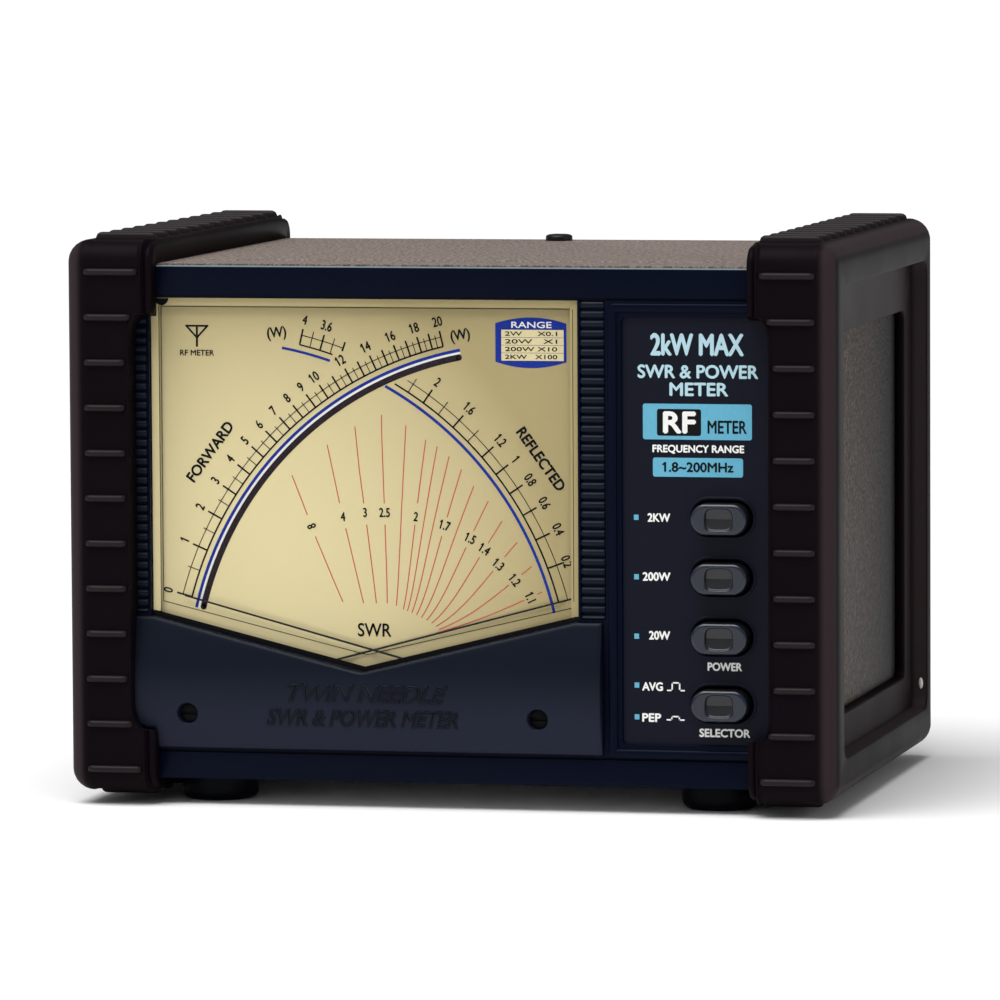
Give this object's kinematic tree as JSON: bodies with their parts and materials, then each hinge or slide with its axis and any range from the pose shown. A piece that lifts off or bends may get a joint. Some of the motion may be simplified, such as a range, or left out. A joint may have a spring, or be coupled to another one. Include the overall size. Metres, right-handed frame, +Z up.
{
  "type": "cross-needle swr and power meter",
  "caption": "Bench SWR and power meter for amateur radio with crossed needles, push-button ranges, a steel case and rubber side bumpers.",
  "frame": {"origin": "on the desk under the middle of the meter's bounding box, rear sockets included", "axes": "+X to the right seen from the front, +Y from the front to the back, +Z up"},
  "size_m": [0.1658, 0.1322, 0.1209],
  "materials": {
    "bumper_rubber": "matte moulded rubber",
    "cover_steel": "fine textured grey paint",
    "bezel_plastic": "satin navy black",
    "apron_plastic": "satin blue black with moulded lettering",
    "window": "clear polished",
    "dial_card": "printed cream card",
    "housing_plastic": "white moulded",
    "board_green": "solder resist",
    "component_blue": "moulded component cases",
    "lamp_glass": "clear lamp",
    "brass": "turned and stamped",
    "steel": "plated",
    "copper_coil": "enamelled wire",
    "needle_black": "matt black",
    "panel_print": "printed panel",
    "button_plastic": "satin navy black",
    "plunger_plastic": "natural white",
    "switch_black": "black moulded",
    "tin_plate": "tinned sheet",
    "nickel": "nickel plated",
    "insulator": "white insulator",
    "screw_black": "black oxide",
    "foot_rubber": "matte"
  },
  "bodies": {
    "case": {"left_bumper": "bumper_rubber", "right_bumper": "bumper_rubber", "top_cover": "cover_steel", "chassis_tray": "steel", "rear_panel": "cover_steel", "front_bezel": "bezel_plastic", "apron": "apron_plastic", "meter_window": "window", "dial_plate": "dial_card", "meter_housing": "housing_plastic", "meter_screws": "steel", "lamp_holder": "board_green", "dial_lamps": "lamp_glass", "forward_frame": "brass", "forward_core": "steel", "forward_hairspring": "brass", "reflected_frame": "brass", "reflected_core": "steel", "reflected_hairspring": "brass", "control_panel": "panel_print", "range_switch": "switch_black", "selector_switch": "switch_black", "switch_springs": "steel", "switch_board": "board_green", "switch_screws": "steel", "main_board": "board_green", "board_parts": "component_blue", "board_pillars": "brass", "coupler_box": "tin_plate", "coupler_line": "brass", "transmitter_socket": "nickel", "antenna_socket": "nickel", "socket_insulators": "insulator", "socket_contacts": "brass", "socket_screws": "steel", "power_jack": "switch_black", "front_left_foot": "foot_rubber", "front_right_foot": "foot_rubber", "rear_left_foot": "foot_rubber", "rear_right_foot": "foot_rubber", "cover_screw": "screw_black", "case_screws": "screw_black", "rear_screws": "screw_black"},
    "forward_pointer": {"forward_needle": "needle_black", "forward_coil": "copper_coil"},
    "forward_zero_adjuster": {"forward_zero_screw": "switch_black"},
    "forward_spring_lever": {"forward_zero_lever": "brass"},
    "reflected_pointer": {"reflected_needle": "needle_black", "reflected_coil": "copper_coil"},
    "reflected_zero_adjuster": {"reflected_zero_screw": "switch_black"},
    "reflected_spring_lever": {"reflected_zero_lever": "brass"},
    "2kw_button": {"button_2kw": "button_plastic", "plunger_2kw": "plunger_plastic"},
    "200w_button": {"button_200w": "button_plastic", "plunger_200w": "plunger_plastic"},
    "20w_button": {"button_20w": "button_plastic", "plunger_20w": "plunger_plastic"},
    "selector_button": {"button_selector": "button_plastic", "plunger_selector": "plunger_plastic"}
  },
  "joints": [
    {"name": "forward_swing", "type": "hinge", "parent": "case", "child": "forward_pointer", "pos_m": [0.0153, -0.0504, 0.0247], "axis": [0, 1, 0], "range_deg": [0, 64], "stiffness_Nm_per_rad": 0.00005, "springref_deg": -8.59},
    {"name": "forward_zero_turn", "type": "hinge", "parent": "case", "child": "forward_zero_adjuster", "pos_m": [0.0188, -0.0599, 0.0198], "axis": [0, 1, 0], "range_deg": [-50, 50]},
    {"name": "forward_lever_turn", "type": "hinge", "parent": "case", "child": "forward_spring_lever", "pos_m": [0.0153, -0.0566, 0.0247], "axis": [0, 1, 0], "range_deg": [-6, 6]},
    {"name": "reflected_swing", "type": "hinge", "parent": "case", "child": "reflected_pointer", "pos_m": [-0.0503, -0.0504, 0.0247], "axis": [0, -1, 0], "range_deg": [0, 64], "stiffness_Nm_per_rad": 0.00005, "springref_deg": -8.59},
    {"name": "reflected_zero_turn", "type": "hinge", "parent": "case", "child": "reflected_zero_adjuster", "pos_m": [-0.0572, -0.0599, 0.0198], "axis": [0, 1, 0], "range_deg": [-50, 50]},
    {"name": "reflected_lever_turn", "type": "hinge", "parent": "case", "child": "reflected_spring_lever", "pos_m": [-0.0503, -0.0566, 0.0247], "axis": [0, 1, 0], "range_deg": [-6, 6]},
    {"name": "2kw_press", "type": "slide", "parent": "case", "child": "2kw_button", "axis": [0, 1, 0], "range_m": [0, 0.003], "stiffness_N_per_m": 250, "springref_m": -0.003},
    {"name": "200w_press", "type": "slide", "parent": "case", "child": "200w_button", "axis": [0, 1, 0], "range_m": [0, 0.003], "stiffness_N_per_m": 250, "springref_m": -0.003},
    {"name": "20w_press", "type": "slide", "parent": "case", "child": "20w_button", "axis": [0, 1, 0], "range_m": [0, 0.003], "stiffness_N_per_m": 250, "springref_m": -0.003},
    {"name": "selector_press", "type": "slide", "parent": "case", "child": "selector_button", "axis": [0, 1, 0], "range_m": [0, 0.003], "stiffness_N_per_m": 250, "springref_m": -0.003}
  ],
  "couplings": [
    {"joint": "forward_lever_turn", "follows": "forward_zero_turn", "ratio": 0.11727},
    {"joint": "reflected_lever_turn", "follows": "reflected_zero_turn", "ratio": 0.08637}
  ]
}
